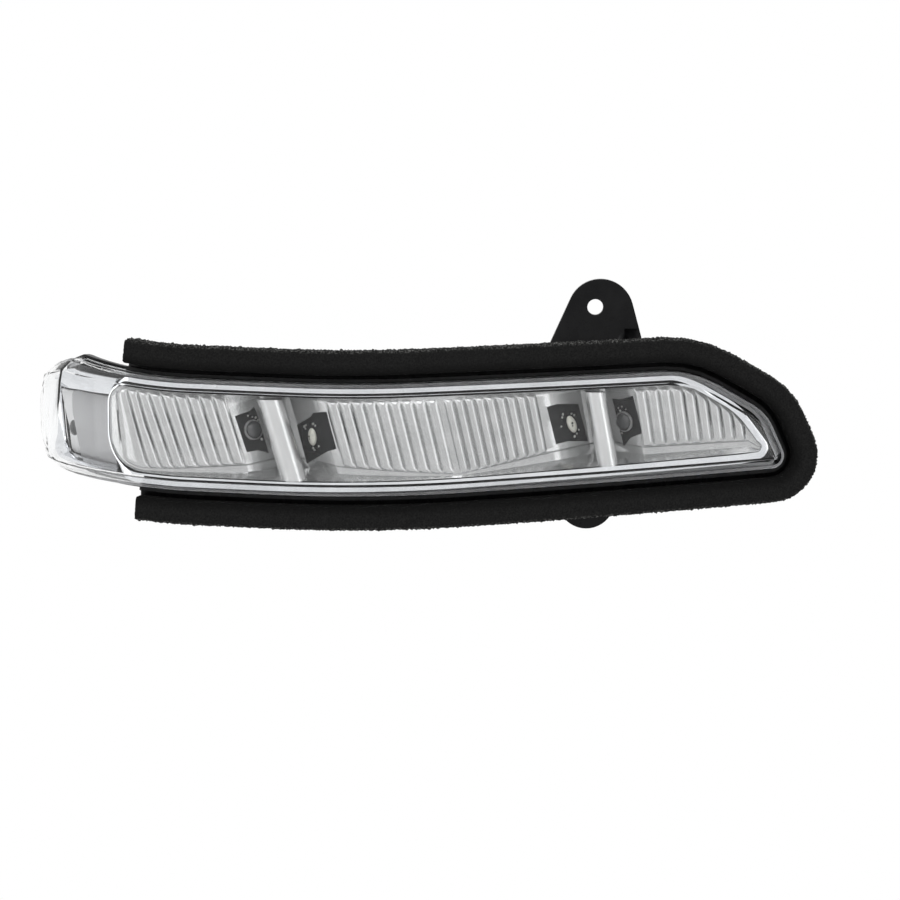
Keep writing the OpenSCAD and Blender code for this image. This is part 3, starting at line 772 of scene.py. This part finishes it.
def sheetFaces(columns, rows):
    # Front, back and the edge between them. The back's points follow the front's.
    faces = []
    for i in range(columns - 1):
        for j in range(rows - 1):
            a = i * rows + j
            faces.append((a, a + rows, a + rows + 1, a + 1))
    n = columns * rows
    faces += [tuple(i + n for i in reversed(f)) for f in faces]
    end = n - rows
    border = list(range(0, n, rows)) + list(range(end + 1, n))
    border += list(range(end - 1, rows - 2, -rows)) + list(range(rows - 2, 0, -1))
    for a, b in zip(border, border[1:] + border[:1]):
        faces.append((b, a, a + n, b + n))
    return faces


def makeReflector():
    s = reflectorSet
    top, low = sheetEdges()
    depthLine, leanLine, floorLine = sheetLines()
    cols = sheetColumns()
    front = []
    back = []
    for x, bump, slitFrom, slitTo in cols:
        lean = lookUp(x, leanLine)
        topZ = lookUp(x, top)
        lowZ = lookUp(x + lean * (topZ - lookUp(x, low)), low)
        height = topZ - lowZ
        rows = sheetRows(height, lookUp(x, depthLine), lookUp(x, floorLine), bump, slitFrom, slitTo)
        for v, d, rise in rows:
            across = x + lean * (height - v)
            front.append(bend(across, lowZ + v, d - rise))
            back.append(bend(across, lowZ + v, d + s["thickness"]))
    faces = sheetFaces(len(cols), len(front) // len(cols))
    sheet = meshOf("reflectorSheet", front + back, faces)
    for shape in windowShapes:
        takeAway(sheet, sightPrism(shape))
    pinMarks(sheet, s["pits"], s["pitRadius"])
    smooth(sheet, 28)
    settle(sheet, "flutedReflector", satinChrome, "bright", "reflector")


# Main bezel: a flat bright band inside the lens rim, with a narrow dark gap under its upper side.
# It is narrower at the tip and a thin seam at the wrapped end.
bezelSet = {
    "reach": 0.95,  # how far it stands outside its outline
    "inner": 1.35,
    "innerAtTip": 0.55,
    "innerAtSeam": 0.2,
    "shadowGap": 1.0,
    "heel": 1.3,
    "front": 5.2,
    "back": 8.7,
    "lip": 5.9,
    "lipAtSeam": 0.3,
    "seamOuter": 1.0,
    "seamFront": 5.7,
    "seamBack": 6.5,
    "tipOnTop": (22, 34),  # from x to x
    "tipBelow": (46, 54),
    "seam": (141, 146),
    "edge": 0.12,
    "pits": [(191, 386.5), (202, 386.5), (215, 387)],
    "pitRadius": 0.35,
    "notch": [(741.5, 409), (749, 409), (749, 415), (744.5, 415.5)],
}


def makeBezel():
    b = bezelSet
    ring = roundedRing(bezelCorners, 10, 16)
    verts = []
    for p, way in ring:
        tip = fade(p.x, *(b["tipOnTop"] if way.y < 0 else b["tipBelow"]))
        seam = fade(-p.x, *b["seam"])
        between = (1 - tip) * (1 - seam)
        outer = -b["reach"] * between + b["seamOuter"] * seam
        inner = b["inner"] + b["innerAtTip"] * tip + b["innerAtSeam"] * seam
        inner -= b["shadowGap"] * fade(-way.y, 0.3, 0.9) * between
        heel = min(b["heel"], inner - 0.05)
        front = b["front"] + (b["seamFront"] - b["front"]) * seam
        back = b["back"] + (b["seamBack"] - b["back"]) * seam
        lip = b["lip"] + b["lipAtSeam"] * seam
        section = ((outer, front), (outer, back), (heel, back), (heel, lip), (inner, lip),
                   (inner, front))
        for inset, d in section:
            q = p + way * inset
            verts.append(bend(q.x, q.y, d))
    bezel = meshOf("bezelBand", verts, bandFaces(len(ring), 6, True))
    outwards(bezel)
    takeAway(bezel, sightPrism(b["notch"]))
    roundEdges(bezel, b["edge"], 2, 40)
    pinMarks(bezel, b["pits"], b["pitRadius"])
    smooth(bezel, 35)
    settle(bezel, "mainBezel", chrome, "bright", "main_bezel")


# Bars between the lamps: their lower end is drawn down to the bezel and rounded.
barSet = {
    "bars": [("pillar_left", "leftBar", 0.3), ("pillar_right", "rightBar", 0.18)],
    "drop": 1.9,
    "zone": 2.6,
    "edge": 0.6,
}


def makeBars():
    b = barSet
    for node, name, lean in b["bars"]:
        bar = twin(node)
        lowest = min(v.co.z for v in bar.data.vertices)
        pick(bar, "VERT", lambda v: v.co.z < lowest + b["zone"] * mm)
        bpy.ops.transform.translate(value=(b["drop"] * lean * mm, 0, -b["drop"] * mm))
        done()
        roundEdges(bar, b["edge"], 4, 40)
        smooth(bar, 35)
        settle(bar, name, barChrome, "bright", node)


# Wrapped end: a bright funnel-shaped frame, open at the seam. Its two outlines match corner to
# corner, and the corners from 4 round to 1 are used.
endFrameSet = {
    "outline": [(-166, -20.1, 2), (-143.4, -22.2, 0.5), (-150.8, -27.5, 4), (-150.9, -41, 10),
                (-140.6, -49.9, 1.5), (-177, -46.9, 6), (-187, -42.2, 6), (-188.4, -29.5, 6),
                (-182.4, -22.9, 6)],
    "hole": [(-165.5, -26.2, 2), (-148.6, -26.9, 1), (-150, -30, 3), (-150, -40, 8),
             (-143.6, -48.2, 1), (-176, -45.5, 3), (-182.4, -42.6, 3.5), (-186.6, -29.5, 3),
             (-183.6, -26, 3)],
    "arcSteps": 10,
    "runSteps": 16,
    "front": 4.6,
    "webFront": 6.0,
    "seat": 8.7,
    "holeBack": 8.5,
    "wall": 0.8,
    "edge": 0.25,
}


def makeEndFrame():
    e = endFrameSet
    rims = roundedRing(e["outline"], e["arcSteps"], e["runSteps"])
    holes = roundedRing(e["hole"], e["arcSteps"], e["runSteps"])
    perCorner = e["arcSteps"] + e["runSteps"]
    run = list(range(4 * perCorner + e["arcSteps"], len(rims))) + list(range(perCorner + 1))
    verts = []
    for i in run:
        rim, way = rims[i]
        hole = holes[i][0]
        inner = rim + way * e["wall"]
        section = ((rim, e["front"]), (rim, e["seat"]), (inner, e["seat"]), (inner, e["webFront"]),
                   (hole, e["holeBack"]), (hole, e["holeBack"] - e["wall"]))
        verts += [bend(q.x, q.y, d) for q, d in section]
    faces = bandFaces(len(run), 6, False)
    last = len(verts) - 6
    faces += [(0, 1, 2, 3), (3, 4, 5, 0)]
    faces += [(last + 3, last + 2, last + 1, last), (last, last + 5, last + 4, last + 3)]
    endFrame = meshOf("endFrame", verts, faces)
    outwards(endFrame)
    roundEdges(endFrame, e["edge"], 3, 30)
    smooth(endFrame, 35)
    settle(endFrame, "endBezel", chrome, "bright", "end_bezel")


# A flat panel in the frame, and behind its left edge the white board with the fifth lamp. Their
# outlines are pixels of the picture, laid on planes that stand across the wrapped end.
endSet = {
    "origin": (-148, 8.8),  # developed x and depth of the panel's front
    "turn": 45,
    "panel": [(76.5, 389.6), (73.8, 390.5), (72.5, 392.8), (72.6, 402), (73.2, 412), (77.3, 434),
              (82.1, 458), (83.3, 462.5), (86, 465), (117, 471), (116.4, 397.4)],
    "board": [(67.6, 387.5), (80, 390), (92, 440), (95, 464), (81, 459.5), (75.6, 455)],
    "boardBack": 3.4,
    "thickness": 1.2,
    "edge": 0.3,
    "lamp": (78, 427),
}


def endPlane(px, py, back):
    # Where a line of sight meets the plane that lies back mm behind the panel's front.
    e = endSet
    turn = math.radians(e["turn"])
    away = Vector((math.sin(turn), math.cos(turn), 0))
    origin = bend(e["origin"][0], 0, e["origin"][1]) + away * back * mm
    start, way = pixelRay(px, py)
    return start + way * ((origin - start).dot(away) / way.dot(away)), -away


def makeEndPlate(name, shape, back, material, slot, node):
    outline = [endPlane(px, py, back)[0] for px, py in shape]
    plate = meshOf(name, outline, [tuple(range(len(outline)))])
    giveWall(plate, endSet["thickness"])
    outwards(plate)
    roundEdges(plate, endSet["edge"], 3, 40)
    smooth(plate, 35)
    settle(plate, name, material, slot, node)


# Lamps: smoked domes in a ring, and pale lamps with two dots on the others, with bare solder
# beside them. Places are to the right and up from the lamp's middle.
lampSet = {
    "names": {"led_1": "lampOne", "led_2": "lampTwo", "led_3": "lampThree", "led_4": "lampFour"},
    "radius": 3.1,
    "dome": (2.6, 2.6, 1.5),
    "ringHeight": 0.8,
    "ringEdge": 0.3,
    "oval": (1.5, 2.7, 0.95),
    "ovalStand": 0.35,
    "ovals": {"led_2": (0.1, -1.5, -4), "led_3": (0.3, 0.1, 24)},  # place and turn
    "dots": [(-0.4, 0.3, 0.36), (-0.35, -0.5, 0.24)],
    "dotHeight": 0.12,
    "blobs": {
        "led_1": [(-1.3, 4.3, 0.35), (0.1, 3.9, 0.3), (1.2, 3.7, 0.45), (1.9, 2.9, 0.4),
                  (2.6, -2.9, 0.5)],
        "led_2": [(-2.9, 1.4, 0.5), (-2.6, 0.7, 0.35), (-2.2, 1.9, 0.35), (0.9, 2.5, 0.5),
                  (1.7, 2, 0.4), (-0.4, -5, 0.5), (0.1, -5.6, 0.4), (2.1, -4.3, 0.35)],
        "led_3": [(-2.6, 3.2, 0.45), (-2.9, 2.3, 0.4), (0.6, 3.2, 0.4), (1.6, 2.7, 0.4),
                  (2.2, -2.8, 0.45), (1.3, -3.6, 0.5), (3, -1.7, 0.35), (-3.4, -0.4, 0.35)],
        "led_4": [(-1.9, 4, 0.35), (-0.6, 4.5, 0.35), (-1.3, 3.2, 0.4), (0.7, 3.7, 0.3),
                  (-1.1, -3.6, 0.4)],
    },
}


def lampAxis(nodeName):
    # The middle of a lamp's flat base and the direction the lamp looks in.
    faces = nodes[nodeName].data.polygons
    widest = max(faces, key=lambda f: sum(g.area for g in faces if g.normal.dot(f.normal) > 0.999))
    base = [f for f in faces if f.normal.dot(widest.normal) > 0.999]
    area = sum(f.area for f in base)
    return sum((f.center * f.area for f in base), Vector()) / area, -widest.normal.copy()


def standOn(o, base, way, dx=0, dy=0, rise=0, spin=0):
    # Stands a piece made upright at the origin on a board, turned about its axis by spin.
    turn = way.to_track_quat("Z", "Y").to_matrix().to_4x4()
    shift = Matrix.Translation(Vector((dx, dy, rise)) * mm)
    spun = Matrix.Rotation(math.radians(spin), 4, "Z")
    o.matrix_world = Matrix.Translation(base) @ turn @ shift @ spun


def makeDome(name, base, way, node):
    s = lampSet
    dome = roundBlob(*s["dome"])
    standOn(dome, base, way, rise=s["ringHeight"] * 0.8)
    smooth(dome, 60)
    settle(dome, name + "Dome", domeDark, "led", node)
    bpy.ops.object.select_all(action="DESELECT")
    bpy.ops.mesh.primitive_cylinder_add(vertices=64, radius=s["radius"] * mm,
                                        depth=s["ringHeight"] * mm)
    ring = bpy.context.object
    standOn(ring, base, way, rise=s["ringHeight"] / 2)
    only(ring)
    bpy.ops.object.transform_apply(location=True, rotation=True, scale=True)
    roundEdges(ring, s["ringEdge"], 3, 40)
    smooth(ring, 40)
    settle(ring, name + "Ring", domeRing, "led")


def makeOval(name, base, way, node):
    s = lampSet
    dx, dy, spin = s["ovals"][node]
    oval = roundBlob(*s["oval"])
    standOn(oval, base, way, dx, dy, s["ovalStand"], spin)
    smooth(oval, 60)
    settle(oval, name + "Body", ledCream, "led", node)
    for k, (ox, oy, r) in enumerate(s["dots"]):
        dot = roundBlob(r, r, s["dotHeight"])
        standOn(dot, base, way, dx + ox, dy + oy, s["ovalStand"] + s["oval"][2] * 0.93)
        smooth(dot, 60)
        settle(dot, "%sDot%d" % (name, k + 1), chipBlack, "led")


def makeSolder(name, base, way, node):
    blobs = []
    for ox, oy, r in lampSet["blobs"][node]:
        blob = roundBlob(r, r * 0.8, r * 0.7)
        standOn(blob, base, way, ox, oy, r * 0.3, 40 * ox)
        blobs.append(blob)
    only(*blobs)
    bpy.ops.object.join()
    solders = bpy.context.object
    smooth(solders, 60)
    settle(solders, name + "Solder", solder, "led")


def makeLamps():
    for node, name in lampSet["names"].items():
        base, way = lampAxis(node)
        makeLamp = makeOval if node in lampSet["ovals"] else makeDome
        makeLamp(name, base, way, node)
        makeSolder(name, base, way, node)
    place, way = endPlane(*endSet["lamp"], endSet["boardBack"])
    makeDome("endLamp", place, way, "end_led")


# Finishes of the nodes whose own shape stays
nodeFinishes = {
    "sealant_bead": sealant,
    "led_board_1": boardBlack,
    "led_board_2": boardBlack,
    "led_board_3": boardBlack,
    "led_board_4": boardBlack,
    "main_board": boardGreen,
    "resistors": chipBlack,
    "driver_chip": chipBlack,
    "diode": chipBlack,
    "capacitor": canMetal,
    "board_screws": zincSteel,
    "contact_pins": tinned,
}


def dressNodes():
    for name, material in nodeFinishes.items():
        node = nodes[name]
        node.data.materials.clear()
        node.data.materials.append(material)


# Floor, backdrop and light
stageSet = {
    "drop": 0.35,  # metres from the lamp down to the floor
    "floorSize": 12,
    "floor": 0.82,
    "world": 0.6,
    "lamps": {  # place and size in metres, and power
        "keySoftbox": ((-0.25, -0.9, 1.0), (1.2, 0.7), 5),
        "leftSoftbox": ((-1.3, -0.8, 0.1), (0.7, 1.2), 2.5),
        "rightSoftbox": ((1.2, -0.9, 0.2), (0.6, 1.2), 2.5),
    },
}


def whiteRays(tree):
    # 1 for what the camera, metal and clear plastic see, 0 for the light that falls on things.
    path = addNode(tree, "ShaderNodeLightPath")
    seen = addNode(tree, "ShaderNodeMath", operation="MAXIMUM")
    seenToo = addNode(tree, "ShaderNodeMath", operation="MAXIMUM")
    tree.links.new(path.outputs["Is Camera Ray"], seen.inputs[0])
    tree.links.new(path.outputs["Is Glossy Ray"], seen.inputs[1])
    tree.links.new(seen.outputs[0], seenToo.inputs[0])
    tree.links.new(path.outputs["Is Transmission Ray"], seenToo.inputs[1])
    return seenToo.outputs[0]


def whiteToEye(name, base):
    # Pale surface that the camera, metal and clear plastic see as plain white.
    m, tree, shader = newMaterial(name)
    shader.inputs["Base Color"].default_value = (base, base, base, 1)
    shader.inputs["Roughness"].default_value = 0.9
    glow = addNode(tree, "ShaderNodeEmission", Strength=1)
    mix = addNode(tree, "ShaderNodeMixShader")
    tree.links.new(whiteRays(tree), mix.inputs["Fac"])
    tree.links.new(shader.outputs["BSDF"], mix.inputs[1])
    tree.links.new(glow.outputs["Emission"], mix.inputs[2])
    tree.links.new(mix.outputs["Shader"], tree.nodes["Material Output"].inputs["Surface"])
    return m


def makeStage():
    s = stageSet
    bpy.ops.object.select_all(action="DESELECT")
    bpy.ops.mesh.primitive_plane_add(size=s["floorSize"], location=(0, 0, cadLow.z - s["drop"]))
    floor = bpy.context.object
    floor.name = "paleFloor"
    floor.data.materials.append(whiteToEye("paleFloor", s["floor"]))
    world = bpy.data.worlds.new("softRoom")
    bpy.context.scene.world = world
    world.use_nodes = True
    tree = world.node_tree
    back = tree.nodes["Background"]
    back.inputs["Color"].default_value = (1, 1, 1, 1)
    spread(tree, whiteRays(tree), s["world"], 1, back.inputs["Strength"])
    for name, (place, size, power) in s["lamps"].items():
        data = bpy.data.lights.new(name, "AREA")
        data.shape = "RECTANGLE"
        data.size, data.size_y = size
        data.energy = power
        lamp = bpy.data.objects.new(name, data)
        bpy.context.scene.collection.objects.link(lamp)
        lamp.location = place
        aim = Vector(cameraSet["aim"]) * mm - Vector(place)
        lamp.rotation_euler = aim.to_track_quat("-Z", "Y").to_euler()


makeCamera()
makeStage()
print("camera and light set")
makeLens()
makeHousing()
print("lens and housing finished")
makeFoam()
print("foam seal finished")
makeReflector()
print("reflector finished")
makeBezel()
makeBars()
makeEndFrame()
makeEndPlate("endPanel", endSet["panel"], 0, panelGrey, "panel", "end_panel")
makeEndPlate("endBoard", endSet["board"], endSet["boardBack"], boardWhite, "board", "end_board")
makeLamps()
dressNodes()
print("bezels, bars and lamps finished")

bpy.context.scene.view_settings.view_transform = "Standard"
